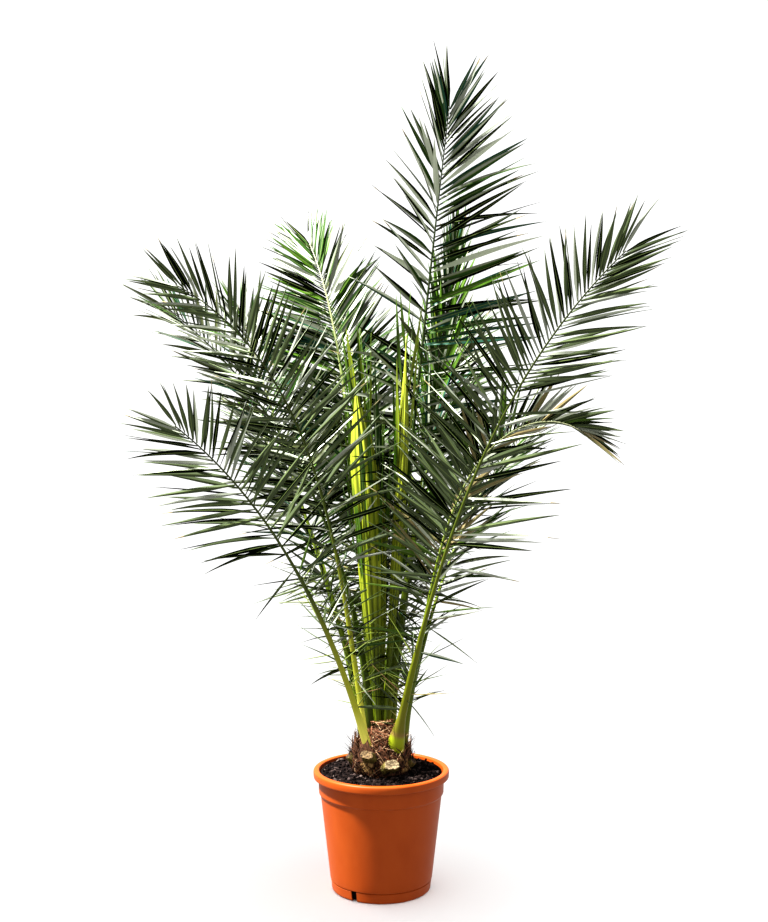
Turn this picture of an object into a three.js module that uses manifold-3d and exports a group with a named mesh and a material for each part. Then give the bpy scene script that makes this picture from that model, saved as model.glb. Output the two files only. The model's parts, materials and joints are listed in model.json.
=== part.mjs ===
// A young date palm in a grower's pot: pot, soil, fibrous trunk, cut leaf stubs, arching fronds and
// unopened spear leaves. Millimetres, +Z up. The origin is the centre of the pot's flat underside,
// and -Y is the side from which the palm is usually seen.
import * as THREE from "three";
import { ConvexGeometry } from "three/addons/geometries/ConvexGeometry.js";
import { mergeVertices } from "three/addons/utils/BufferGeometryUtils.js";
import Module from "manifold-3d";

const wasm = await Module();
wasm.setup();

// ---------------------------------------------------------------- driving dimensions
const GAP = 0.3; // clearance between pieces that touch on the real plant
const TURNED_SIDES = 28;

const POT = {
  height: 282,
  footRadius: 117,
  shoulderRadius: 143, // wall radius just under the shoulder
  shoulderZ: 224,
  collarRadius: 147, // wall radius between the shoulder and the rim
  rimRadius: 160,
  rimInnerRadius: 146,
  rimDepth: 19,
  wall: 3.2,
  grooveZ: 24,
  grooveDepth: 1.2,
  grooveHalf: 2, // half the height of the groove
  lipRound: 4, // how far the rim is rounded off at its top
};
const DRAIN_SLOT = { count: 3, width: 14, height: 24, depth: 30, firstAngle: -122 };
const SOIL = { edgeZ: 274.5, crownZ: 276, crownRadius: 90 };

// Outline of the trunk from the soil to the growing point: radius and height above the soil.
const TRUNK = [
  [67, 0],
  [69, 10],
  [66, 36],
  [58, 62],
  [45, 84],
  [30, 102],
  [13, 112],
  [6, 116],
];

// Where leaves leave the trunk: distance from the axis and height above the soil.
const RINGS = {
  outer: { radius: 45, height: 42 },
  inner: { radius: 23, height: 90 },
  heart: { radius: 9, height: 104 },
};

// Each frond leaves its ring at the angle "root" and leans towards "azimuth" (degrees, 0 is +X and 90 is +Y),
// "rise" degrees off the vertical. By its tip it has turned down by "bow" degrees more and sideways by "drift",
// and "late" says how much of that comes near the tip. "length" is the rib's, "reach" its longest leaflet's,
// "bare" the share of the rib below the leaflets, "splay" the angle between the rib and the middle leaflets,
// "fold" how far each half of the blade is raised, and "roll" turns the blade round its rib.
const FRONDS = [
  { name: "front_right", ring: "outer", root: -52, azimuth: -53, rise: 18, bow: 36.1, drift: 8.4, late: 1.8,
    length: 1317, reach: 240, bare: 0.22, splay: 67, fold: 14, roll: -42 },
  { name: "front_left", ring: "outer", root: 238, azimuth: 230, rise: 22.8, bow: 36, drift: 1, late: 1.44,
    length: 994, reach: 215, bare: 0.48, splay: 67, fold: 16, roll: 38 },
  { name: "left_arching", ring: "outer", root: 226, azimuth: 212, rise: 8.9, bow: 56.2, drift: -7.3, late: 2.9,
    length: 1215, reach: 230, bare: 0.28, splay: 66, fold: 16, roll: 48 },
  { name: "right_arching", ring: "outer", root: -8, azimuth: -25, rise: 10.9, bow: 116.9, drift: 3.9, late: 4.53,
    length: 998, reach: 205, bare: 0.28, splay: 58, fold: 24, roll: -30 },
  { name: "right_low", ring: "outer", root: 30, azimuth: 42, rise: 18, bow: 54, drift: 6, late: 2,
    length: 990, reach: 210, bare: 0.28, splay: 62, fold: 22, roll: 0 },
  { name: "back_low", ring: "outer", root: 88, azimuth: 92, rise: 23, bow: 52, drift: 0, late: 1.8,
    length: 1030, reach: 225, bare: 0.26, splay: 62, fold: 22, roll: 0 },
  { name: "left_low", ring: "outer", root: 140, azimuth: 126, rise: 20, bow: 46, drift: 0, late: 1.8,
    length: 1030, reach: 190, bare: 0.28, splay: 62, fold: 22, roll: 0 },
  { name: "left_upper", ring: "inner", root: 196, azimuth: 165, rise: 5.2, bow: 46, drift: 21.2, late: 1.25,
    length: 1140, reach: 240, bare: 0.28, splay: 66, fold: 18, roll: -45 },
  { name: "left_behind", ring: "inner", root: 160, azimuth: 156, rise: 19.1, bow: 6.8, drift: -21.3, late: 1.3,
    length: 1096, reach: 215, bare: 0.34, splay: 62, fold: 22, roll: -20 },
  { name: "tall", ring: "inner", root: 84, azimuth: 50, rise: 9.2, bow: 1.5, drift: -1, late: 2.5,
    length: 1540, reach: 330, bare: 0.24, splay: 70, fold: 28, roll: 68 },
  { name: "back_left", ring: "inner", root: 124, azimuth: 122, rise: 9.4, bow: 36.9, drift: -7, late: 3.5,
    length: 1274, reach: 240, bare: 0.36, splay: 66, fold: 22, roll: -28 },
  { name: "back_right", ring: "inner", root: 40, azimuth: 64, rise: 17, bow: 40, drift: 4, late: 2.2,
    length: 1190, reach: 225, bare: 0.28, splay: 62, fold: 22, roll: 0 },
  { name: "back_upper", ring: "heart", root: 100, azimuth: 100, rise: 17, bow: 46, drift: 0, late: 2.4,
    length: 1200, reach: 225, bare: 0.28, splay: 62, fold: 22, roll: 0 },
  { name: "young", ring: "heart", root: 60, azimuth: 45, rise: 13.7, bow: -2.3, drift: 7.3, late: 2.6,
    length: 1195, reach: 230, bare: 0.45, splay: 17, fold: 30, roll: 35 },
];
// A spear is a leaf still furled round its rib, "girth" wide at its widest.
const SPEARS = [
  { name: "spear_left", ring: "heart", root: 190, azimuth: 165, rise: 2, bow: 6.3, drift: 0.1, late: 2.1,
    length: 843, girth: 64, roll: 0 },
  { name: "spear_right", ring: "heart", root: -40, azimuth: 20, rise: 4.7, bow: -3.9, drift: -0.1, late: 2,
    length: 924, girth: 28, roll: 0 },
  { name: "spear_centre", ring: "heart", root: 80, azimuth: 110, rise: 1, bow: 2, drift: 0, late: 2,
    length: 662, girth: 24, roll: 0 },
];
// Stalks of earlier leaves, cut off short: angle round the trunk, height above the soil and lean off the vertical.
const STUBS = [
  { name: "stub_front", root: -75, height: 14, rise: 62, length: 50, width: 40 },
  { name: "stub_front_left", root: -113, height: 34, rise: 56, length: 42, width: 36 },
  { name: "stub_left", root: 186, height: 10, rise: 44, length: 40, width: 34 },
  { name: "stub_right", root: -14, height: 8, rise: 52, length: 36, width: 32 },
  { name: "stub_back_right", root: 58, height: 12, rise: 56, length: 46, width: 34 },
  { name: "stub_back", root: 122, height: 8, rise: 58, length: 48, width: 36 },
];
// Every stub's centre line starts inside the trunk, its width changes from root to end, and its section is oval.
const STUB = { startRadius: 50, rootShare: 1.15, endShare: 0.86, flatness: 0.6, steps: 2 };

const LIMB_SIDES = 8;
// A stalk's widths at its root, at its neck and where the leaflets begin. "sheath" is the share of the rib along
// which the root narrows to the neck, and "crowding" draws the sections together near the trunk.
const STALK = {
  rootWidth: 34,
  neckWidth: 22,
  endWidth: 13,
  flatness: 0.6,
  sheath: 0.12,
  crowding: 1.3,
  steps: 6,
};
const SPEAR = { steps: 10, rootShare: 0.45, fullAt: 0.4, taperFrom: 0.55, tipShare: 0.07 };
const BLADE = {
  steps: 7,
  ribWidth: 7,
  ribThickness: 5,
  edgeThickness: 1.6,
  footSplay: 1.25, // splay of the lowest leaflets, as a share of the middle ones'
  evenFrom: 0.4, // share of the blade from which the splay is the middle one
  closing: 0.74, // how much of the splay is lost by the tip
  tipLength: 0.8, // how far the last leaflets carry on past the rib's end, as a share of their length
  splitBow: 55, // a frond that bows more than this has its blade made in two nodes
  splitStep: 4,
};

// Lengths of the leaflets as shares of the longest: the lowest ones, where they reach full length, and how much
// of it is lost by the tip.
const LEAFLETS = { foot: 0.6, fullAt: 0.28, tipLoss: 0.45 };

const LOOKS = {
  pot: { color: 0xc2572a, roughness: 0.45, metalness: 0 },
  soil: { color: 0x241a14, roughness: 0.95, metalness: 0 },
  trunk: { color: 0x5a3c28, roughness: 0.9, metalness: 0 },
  stub: { color: 0x9c8a5c, roughness: 0.8, metalness: 0 },
  stalk: { color: 0x8a9a35, roughness: 0.5, metalness: 0 },
  spear: { color: 0xa5ae3c, roughness: 0.55, metalness: 0 },
  blade: { color: 0x2f4a2a, roughness: 0.5, metalness: 0 },
};

// ---------------------------------------------------------------- solids and meshes
function solidOf(geometry) {
  const bare = new THREE.BufferGeometry()
    .setAttribute("position", geometry.getAttribute("position"))
    .setIndex(geometry.index);
  const merged = mergeVertices(bare, 1e-4);
  const vertProperties = merged.attributes.position.array;
  const triVerts = new Uint32Array(merged.index.array);
  return new wasm.Manifold(new wasm.Mesh({ numProp: 3, vertProperties, triVerts }));
}

function geometryOf(solid) {
  const mesh = solid.getMesh();
  return new THREE.BufferGeometry()
    .setAttribute("position", new THREE.BufferAttribute(mesh.vertProperties, 3))
    .setIndex(new THREE.BufferAttribute(mesh.triVerts, 1));
}

// The biggest closed body of a solid: cutting can leave crumbs, which aren't kept.
function biggestBody(solid) {
  return solid.decompose().reduce((a, b) => (a.volume() > b.volume() ? a : b));
}

function turned(profile) {
  const points = profile.map(([r, z]) => new THREE.Vector2(r, z));
  return solidOf(new THREE.LatheGeometry(points, TURNED_SIDES).rotateX(Math.PI / 2));
}

function mix(a, b, share) {
  return a + (b - a) * share;
}

// ---------------------------------------------------------------- ribs and limbs
const radians = THREE.MathUtils.degToRad;
const RIB_STEPS = 120;

// Frame of a rib at the share t of its length. "up" is the face turned to the crown's axis.
function frameAt(leaf, t) {
  const lean = radians(leaf.rise + leaf.bow * t ** leaf.late);
  const turn = radians(leaf.azimuth + leaf.drift * t);
  const [s, c] = [Math.sin(lean), Math.cos(lean)];
  const along = new THREE.Vector3(s * Math.cos(turn), s * Math.sin(turn), c);
  const up = new THREE.Vector3(-c * Math.cos(turn), -c * Math.sin(turn), s);
  up.applyAxisAngle(along, radians(leaf.roll));
  return { along, up, side: along.clone().cross(up) };
}

// The rib's centre line, as a function from the share t of its length to a point.
function ribOf(leaf) {
  const { radius, height } = RINGS[leaf.ring];
  const root = radians(leaf.root);
  const points = [new THREE.Vector3(radius * Math.cos(root), radius * Math.sin(root), SOIL.crownZ + height)];
  for (let i = 0; i < RIB_STEPS; i++) {
    const step = frameAt(leaf, (i + 0.5) / RIB_STEPS).along.multiplyScalar(leaf.length / RIB_STEPS);
    points.push(points.at(-1).clone().add(step));
  }
  return (t) => {
    const place = THREE.MathUtils.clamp(t, 0, 1) * RIB_STEPS;
    const i = Math.min(Math.floor(place), RIB_STEPS - 1);
    return points[i].clone().lerp(points[i + 1], place - i);
  };
}

// A tapering limb: a cylinder bent along a line. "widthAt" and "flatness" give its oval section at each share of
// its length, and "grow" makes it that much bigger all round, to cut room for it out of a neighbour.
function limb({ line, frame, steps, widthAt, flatness }, grow) {
  const geometry = new THREE.CylinderGeometry(1, 1, 1, LIMB_SIDES, steps);
  const position = geometry.getAttribute("position");
  for (let i = 0; i < position.count; i++) {
    const share = THREE.MathUtils.clamp(position.getY(i) + 0.5, 0, 1);
    const { along, up, side } = frame(share);
    const half = widthAt(share) / 2;
    const overrun = share === 0 ? -grow : share === 1 ? grow : 0;
    const point = line(share)
      .addScaledVector(along, overrun)
      .addScaledVector(side, position.getX(i) * (half + grow))
      .addScaledVector(up, position.getZ(i) * (half * flatness + grow));
    position.setXYZ(i, point.x, point.y, point.z);
  }
  return solidOf(geometry);
}

// ---------------------------------------------------------------- pieces
function potSolid() {
  const wallRadius = (z) => mix(POT.footRadius, POT.shoulderRadius, z / POT.shoulderZ);
  const { height, rimRadius, rimInnerRadius, rimDepth, collarRadius, shoulderZ, wall } = POT;
  const { grooveZ, grooveHalf, grooveDepth, lipRound } = POT;
  const profile = [
    [0, 0],
    [POT.footRadius - wall, 0],
    [wallRadius(wall), wall],
    [wallRadius(grooveZ - grooveHalf), grooveZ - grooveHalf],
    [wallRadius(grooveZ) - grooveDepth, grooveZ],
    [wallRadius(grooveZ + grooveHalf), grooveZ + grooveHalf],
    [POT.shoulderRadius, shoulderZ],
    [collarRadius, shoulderZ + wall],
    [collarRadius, height - rimDepth],
    [rimRadius - lipRound / 2, height - rimDepth],
    [rimRadius, height - rimDepth / 2],
    [rimRadius, height - lipRound],
    [rimRadius - lipRound, height],
    [rimInnerRadius + lipRound, height],
    [rimInnerRadius, height - lipRound],
    [collarRadius - wall, shoulderZ + 2 * wall],
    [POT.shoulderRadius - wall, shoulderZ],
    [wallRadius(wall) - wall, wall],
    [0, wall],
  ];
  let pot = turned(profile);
  for (let i = 0; i < DRAIN_SLOT.count; i++) {
    const slot = new THREE.BoxGeometry(DRAIN_SLOT.depth, DRAIN_SLOT.width, 2 * DRAIN_SLOT.height)
      .translate(POT.footRadius, 0, 0)
      .rotateZ(radians(DRAIN_SLOT.firstAngle + (360 / DRAIN_SLOT.count) * i));
    pot = pot.subtract(solidOf(slot));
  }
  return pot;
}

function soilSolid() {
  const inside = POT.wall + GAP;
  const fillRadius = (z) => mix(POT.footRadius, POT.shoulderRadius, z / POT.shoulderZ) - inside;
  const underShoulder = POT.shoulderZ - POT.wall;
  return turned([
    [0, inside],
    [fillRadius(inside) - 1, inside],
    [fillRadius(underShoulder), underShoulder],
    [POT.collarRadius - inside - 1, SOIL.edgeZ],
    [SOIL.crownRadius, SOIL.crownZ],
    [0, SOIL.crownZ],
  ]);
}

function trunkSolid(grow = 0) {
  const foot = SOIL.crownZ + GAP;
  const outline = TRUNK.map(([r, z], i) => [r + grow, foot + z - (i === 0 ? grow : 0)]);
  return turned([[0, foot - grow], ...outline, [0, outline.at(-1)[1] + grow]]);
}

// A stub is oval like the stalk it was cut from, and a little wider where it leaves the trunk.
function stubSolid(stub) {
  const lean = { azimuth: stub.root, rise: stub.rise, bow: 0, drift: 0, late: 1, roll: 0 };
  const frame = () => frameAt(lean, 0);
  const root = radians(stub.root);
  const start = new THREE.Vector3(Math.cos(root), Math.sin(root), 0).multiplyScalar(STUB.startRadius);
  start.z = SOIL.crownZ + stub.height;
  const line = (share) => start.clone().addScaledVector(frame().along, stub.length * share);
  const widthAt = (share) => stub.width * mix(STUB.rootShare, STUB.endShare, share);
  return limb({ line, frame, steps: STUB.steps, widthAt, flatness: STUB.flatness }, 0);
}

// A leaf stalk: a broad sheath on the trunk that narrows to the rib.
function stalkSolid(frond, grow = 0) {
  const rib = ribOf(frond);
  const place = (share) => share ** STALK.crowding * frond.bare;
  const widthAt = (share) => {
    const sheath = 1 - THREE.MathUtils.smoothstep(place(share), 0, STALK.sheath);
    return mix(mix(STALK.neckWidth, STALK.endWidth, share), STALK.rootWidth, sheath);
  };
  const line = (share) => rib(place(share));
  const frame = (share) => frameAt(frond, place(share));
  return limb({ line, frame, steps: STALK.steps, widthAt, flatness: STALK.flatness }, grow);
}

// A furled leaf: a slim spindle that ends in a point.
function spearSolid(spear, grow = 0) {
  const { rootShare, fullAt, taperFrom, tipShare } = SPEAR;
  const widthAt = (share) =>
    spear.girth *
    mix(rootShare, 1, THREE.MathUtils.smoothstep(share, 0, fullAt)) *
    mix(1, tipShare, THREE.MathUtils.smoothstep(share, taperFrom, 1));
  const frame = (share) => frameAt(spear, share);
  return limb({ line: ribOf(spear), frame, steps: SPEAR.steps, widthAt, flatness: 1 }, grow);
}

// Length of the leaflets at the share u of the blade, as a share of the longest.
function leafletShare(u) {
  const { foot, fullAt, tipLoss } = LEAFLETS;
  return mix(foot, 1, THREE.MathUtils.smoothstep(u, 0, fullAt)) * (1 - tipLoss * u ** 3);
}

// Angle between the rib and the leaflets at the share u of the blade, in degrees.
function splayAt(frond, u) {
  const low = 1 - THREE.MathUtils.smoothstep(u, 0, BLADE.evenFrom);
  return frond.splay * mix(1, BLADE.footSplay, low) * (1 - BLADE.closing * u ** 4);
}

// One row across a blade: its thick rib and its two edges, which lie on the leaflets' tips.
function bladeRow(frond, rib, i, overrun, grow) {
  const u = i / BLADE.steps;
  const t = mix(frond.bare, 1, u);
  const { along, up, side } = frameAt(frond, t);
  const fold = radians(frond.fold);
  const splay = radians(splayAt(frond, u));
  const reach = frond.reach * leafletShare(u) + grow;
  const middle = rib(t).addScaledVector(along, overrun);
  const post = (point, thickness) =>
    [1, -1].map((face) => point.clone().addScaledVector(up, face * (thickness / 2 + grow)));
  const edge = (hand) => {
    const tip = middle
      .clone()
      .addScaledVector(along, reach * Math.cos(splay))
      .addScaledVector(side, hand * reach * Math.sin(splay) * Math.cos(fold))
      .addScaledVector(up, reach * Math.sin(splay) * Math.sin(fold));
    return post(tip, BLADE.edgeThickness);
  };
  const ribPoint = middle.clone().addScaledVector(along, i === BLADE.steps ? reach * BLADE.tipLength : 0);
  const ribSide = (hand) => ribPoint.clone().addScaledVector(side, hand * (BLADE.ribWidth / 2 + grow));
  return {
    rib: [...post(ribSide(-1), BLADE.ribThickness), ...post(ribSide(1), BLADE.ribThickness)],
    edges: [edge(-1), edge(1)],
  };
}

// The blade, or the stretch of it between two of its rows: the thin surface that the leaflets sweep, its two
// halves raised in a shallow V, joined from convex cells between neighbouring rows.
function bladeSolid(frond, first, last, grow = 0) {
  const rib = ribOf(frond);
  const overrun = (i) => (i === first ? GAP - grow : 0) + (i === last ? grow : 0);
  const rows = [];
  for (let i = first; i <= last; i++) rows.push(bladeRow(frond, rib, i, overrun(i), grow));
  const cells = [];
  for (let i = 0; i + 1 < rows.length; i++)
    for (const hand of [0, 1]) {
      const corners = [rows[i], rows[i + 1]].flatMap((row) => [...row.rib, ...row.edges[hand]]);
      cells.push(solidOf(new ConvexGeometry(corners)));
    }
  return cells.reduce((whole, cell) => whole.add(cell));
}

// ---------------------------------------------------------------- assembly
const palm = new THREE.Group();

function place(name, solid, look) {
  const mesh = new THREE.Mesh(geometryOf(biggestBody(solid)), new THREE.MeshStandardMaterial(LOOKS[look]));
  mesh.name = name;
  palm.add(mesh);
}

// A piece is cut round the ones placed before it, and then keeps its own room clear of those that follow.
const cutters = [trunkSolid(GAP)];
function placeCut(name, make, look) {
  place(name, cutters.reduce((left, cutter) => left.subtract(cutter), make(0)), look);
  cutters.push(make(GAP));
}

place("pot", potSolid(), "pot");
place("soil", soilSolid(), "soil");
place("trunk", trunkSolid(), "trunk");
for (const frond of FRONDS) placeCut(`frond_${frond.name}_stalk`, (grow) => stalkSolid(frond, grow), "stalk");
for (const spear of SPEARS) placeCut(spear.name, (grow) => spearSolid(spear, grow), "spear");
for (const stub of STUBS) {
  const cut = cutters.reduce((left, cutter) => left.subtract(cutter), stubSolid(stub));
  place(stub.name, cut, "stub");
}
for (const frond of FRONDS) {
  const { steps, splitBow, splitStep } = BLADE;
  const end = frond.bow > splitBow ? splitStep : steps;
  placeCut(`frond_${frond.name}_blade`, (grow) => bladeSolid(frond, 0, end, grow), "blade");
  if (end < steps) placeCut(`frond_${frond.name}_tip`, (grow) => bladeSolid(frond, end, steps, grow), "blade");
}

export default palm;
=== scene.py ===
"""A young date palm in a grower's pot: fronds, furled spears, a fibrous trunk with cut stubs, soil and pot.
Metres, +Z up, origin at the centre of the pot's underside."""

import json

import bpy
import numpy as np
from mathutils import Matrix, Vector

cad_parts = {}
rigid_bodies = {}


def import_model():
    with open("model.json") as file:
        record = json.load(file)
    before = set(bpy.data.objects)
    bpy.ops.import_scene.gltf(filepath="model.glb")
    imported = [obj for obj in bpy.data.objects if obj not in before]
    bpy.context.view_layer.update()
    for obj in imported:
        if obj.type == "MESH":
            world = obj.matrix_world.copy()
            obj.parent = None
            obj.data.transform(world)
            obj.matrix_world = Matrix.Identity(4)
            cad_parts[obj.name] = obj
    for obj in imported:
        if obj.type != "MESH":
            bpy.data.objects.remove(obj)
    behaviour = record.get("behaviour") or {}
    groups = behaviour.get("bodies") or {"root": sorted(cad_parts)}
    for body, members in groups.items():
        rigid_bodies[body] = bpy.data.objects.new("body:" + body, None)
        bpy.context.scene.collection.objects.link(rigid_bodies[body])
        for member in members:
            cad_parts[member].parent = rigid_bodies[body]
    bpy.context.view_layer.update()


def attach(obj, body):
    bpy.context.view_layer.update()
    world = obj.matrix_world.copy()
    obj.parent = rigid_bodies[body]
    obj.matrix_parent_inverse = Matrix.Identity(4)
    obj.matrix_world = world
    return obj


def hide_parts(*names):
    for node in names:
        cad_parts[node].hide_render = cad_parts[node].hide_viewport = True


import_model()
scene = bpy.context.scene

TAU = 2 * np.pi
BODY = "root"
SQUARE = np.array([(-1, -1), (1, -1), (1, 1), (-1, 1)])
UPWARDS = np.array([0, 0, 1.0])


# ---- driving sizes, as in the CAD
def table(facts, *rows):
    """A dict for each row, with the words of facts as its keys."""
    return [dict(zip(facts.split(), row)) for row in rows]


CROWN_Z = 0.276  # soil level at the trunk
# Where leaves leave the trunk: distance from the axis and height above the soil.
RINGS = {"outer": (0.045, 0.042), "inner": (0.023, 0.09), "heart": (0.009, 0.104)}
FRONDS = table(
    "name ring root azimuth rise bow drift late length reach bare splay fold roll tones",
    ("front_right", "outer", -52, -53, 18, 36.1, 8.4, 1.8, 1.317, 0.24, 0.22, 67, 14, -42, "olive"),
    ("front_left", "outer", 238, 230, 22.8, 36, 1, 1.44, 0.994, 0.215, 0.48, 67, 16, 38, "dark"),
    ("left_arching", "outer", 226, 212, 8.9, 56.2, -7.3, 2.9, 1.215, 0.23, 0.28, 66, 16, 48, "dark"),
    ("right_arching", "outer", -8, -25, 10.9, 116.9, 3.9, 4.53, 0.998, 0.205, 0.28, 58, 24, -30, "aged"),
    ("right_low", "outer", 30, 42, 18, 54, 6, 2, 0.99, 0.21, 0.28, 62, 22, 0, "shade"),
    ("back_low", "outer", 88, 92, 23, 52, 0, 1.8, 1.03, 0.225, 0.26, 62, 22, 0, "shade"),
    ("left_low", "outer", 140, 126, 20, 46, 0, 1.8, 1.03, 0.19, 0.28, 62, 22, 0, "shade"),
    ("left_upper", "inner", 196, 165, 5.2, 46, 21.2, 1.25, 1.14, 0.24, 0.28, 66, 18, -45, "dark"),
    ("left_behind", "inner", 160, 156, 19.1, 6.8, -21.3, 1.3, 1.096, 0.215, 0.34, 62, 22, -20, "fresh"),
    ("tall", "inner", 84, 50, 9.2, 1.5, -1, 2.5, 1.54, 0.33, 0.24, 70, 28, 68, "tall"),
    ("back_left", "inner", 124, 122, 9.4, 36.9, -7, 3.5, 1.274, 0.24, 0.36, 66, 22, -28, "fresh"),
    ("back_right", "inner", 40, 64, 17, 40, 4, 2.2, 1.19, 0.225, 0.28, 62, 22, 0, "shade"),
    ("back_upper", "heart", 100, 100, 17, 46, 0, 2.4, 1.2, 0.225, 0.28, 62, 22, 0, "shade"),
    ("young", "heart", 60, 45, 13.7, -2.3, 7.3, 2.6, 1.195, 0.23, 0.45, 17, 30, 35, "young"),
)
SPLIT_BOW = 55  # a frond that bows more than this has its blade in two nodes

# What else differs: spacing and width of the leaflets, degrees more that each rank leans off the rib, how
# short the second rank is, how seldom leaflets get painted highlights, a gap in one rank (ends, hand and share
# lost), the share missing at the blade's foot, the stalk's outer hand and the share of spines and low leaflets
# lost there, and the stalk's look and its widths at trunk, neck and blade.
USUAL = dict(spacing=0.013, width=0.0106, skew=(0, 0), shorter=1, painted_highlight_rarity=1, gap=(0, 0, 1, 0), sparse=0.55,
             worn=(0, 0), stalk="green", widths=(0.032, 0.022, 0.013))
SPECIAL = {
    "front_right": dict(spacing=0.0114, gap=(0.3, 0.62, -1, 0.7), sparse=0.86, worn=(-1, 0.8), stalk="yellow",
                        widths=(0.046, 0.024, 0.0135)),
    "front_left": dict(sparse=0.8, worn=(1, 0.8), stalk="straw", widths=(0.021, 0.017, 0.01)),
    "left_arching": dict(worn=(1, 0.7), stalk="straw", widths=(0.017, 0.015, 0.012)),
    "right_arching": dict(spacing=0.0085, width=0.0135, worn=(-1, 0.7)),
    "right_low": dict(sparse=0.75, worn=(1, 0.7)),
    "left_low": dict(sparse=0.75, worn=(-1, 0.6)),
    "left_upper": dict(stalk="dark"),
    "tall": dict(width=0.0146, skew=(2, 15), shorter=0.84, painted_highlight_rarity=1.35, gap=(0.45, 0.9, -1, 0.3), stalk="dark",
                 widths=(0.034, 0.029, 0.017)),
    "back_left": dict(spacing=0.008, width=0.0128, skew=(-8, 8), painted_highlight_rarity=1.25, widths=(0.034, 0.026, 0.019)),
    "young": dict(spacing=0.0115, width=0.012, sparse=0),
}
for frond in FRONDS:
    frond.update(USUAL | SPECIAL.get(frond["name"], {}))
SPEARS = table(
    "name ring root azimuth rise bow drift late roll length girth",
    ("spear_left", "heart", 190, 165, 2, 6.3, 0.1, 2.1, 0, 0.843, 0.064),
    ("spear_right", "heart", -40, 20, 4.7, -3.9, -0.1, 2, 0, 0.924, 0.028),
    ("spear_centre", "heart", 80, 110, 1, 2, 0, 2, 0, 0.662, 0.024),
)
STUBS = table(
    "name root height rise length width",
    ("stub_front", -75, 0.014, 62, 0.05, 0.04),
    ("stub_front_left", -113, 0.034, 56, 0.042, 0.036),
    ("stub_left", 186, 0.01, 44, 0.04, 0.034),
    ("stub_right", -14, 0.008, 52, 0.036, 0.032),
    ("stub_back_right", 58, 0.012, 56, 0.046, 0.034),
    ("stub_back", 122, 0.008, 58, 0.048, 0.036),
)
STUB_RADIUS, STUB_FLATNESS = 0.05, 0.6
# Outline of the trunk: radius and height above the soil.
TRUNK = np.array(
    [(0.067, 0), (0.069, 0.01), (0.066, 0.036), (0.058, 0.062), (0.045, 0.084), (0.03, 0.102), (0.013, 0.112)]
)
TRUNK_TOP = 0.112


# ---- numbers in place
def mix(a, b, share):
    return a + (b - a) * share


def ease(x, start=0, end=1):
    """Smooth step of the share of the way from start to end."""
    x = np.clip((x - start) / (end - start), 0, 1)
    return x * x * (3 - 2 * x)


def unit(v):
    return v / np.linalg.norm(v, axis=-1, keepdims=True)


def polar(radius, angle, height):
    """Points at that distance from the Z axis, angle round it and height."""
    return np.stack(np.broadcast_arrays(radius * np.cos(angle), radius * np.sin(angle), height), -1)


def turn_about(v, axis, angle):
    """v turned by the angle about a unit axis square to it."""
    angle = np.asarray(angle)[..., None]
    return v * np.cos(angle) + np.cross(axis, v) * np.sin(angle)


def round_angles(count):
    """Angles of that many corners, evenly round a circle."""
    return np.arange(count) / count * TAU


LATTICE = 24  # cells each way before the noise repeats


def lumps(points, size, seed):
    """Soft noise from -1 to 1: random values on a lattice of that size, blended by smooth steps."""
    lattice = np.random.default_rng(seed).uniform(-1, 1, (LATTICE,) * 3)
    place = points / size
    cell = np.floor(place).astype(int)
    share = ease(place - cell)
    total = np.zeros(points.shape[:-1])
    for corner in np.ndindex(2, 2, 2):
        weight = np.prod(np.where(corner, share, 1 - share), axis=-1)
        i, j, k = np.moveaxis((cell + corner) % LATTICE, -1, 0)
        total += weight * lattice[i, j, k]
    return total


# ---- ribs
RIB_STEPS = 120


def frame_at(leaf, t):
    """Unit vectors along, up and side of a rib at the shares t of its length. The lean off the vertical is
    rise + bow t^late and the heading azimuth + drift t; up is square to along, turned round it by roll."""
    lean = np.radians(leaf["rise"] + leaf["bow"] * t ** leaf["late"])
    turn = np.radians(leaf["azimuth"] + leaf["drift"] * t)
    s, c = np.sin(lean), np.cos(lean)
    along = polar(s, turn, c)
    up = turn_about(polar(-c, turn, s), along, np.full(np.shape(t), np.radians(leaf["roll"])))
    return along, up, np.cross(along, up)


def rib_at(leaf, t):
    """Points of the rib at the shares t: the running sum of along over short steps."""
    radius, height = RINGS[leaf["ring"]]
    start = polar(radius, np.radians(leaf["root"]), CROWN_Z + height)
    middles = (np.arange(RIB_STEPS) + 0.5) / RIB_STEPS
    steps = frame_at(leaf, middles)[0] * leaf["length"] / RIB_STEPS
    points = start + np.vstack([np.zeros(3), np.cumsum(steps, 0)])
    stations = np.linspace(0, 1, RIB_STEPS + 1)
    return np.stack([np.interp(t, stations, points[:, axis]) for axis in range(3)], -1)


def set_off(along, up, side, hand, splay, fold):
    """Headings at the angle splay off a rib, to its side as hand is 1 or -1, and raised by the angle fold."""
    out = np.sin(splay)
    sideways, upwards = hand * out * np.cos(fold), out * np.sin(fold)
    return along * np.cos(splay)[:, None] + side * sideways[:, None] + up * upwards[:, None]


# ---- meshes
def put(name, data):
    """A new object in the scene."""
    thing = bpy.data.objects.new(name, data)
    scene.collection.objects.link(thing)
    return thing


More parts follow.
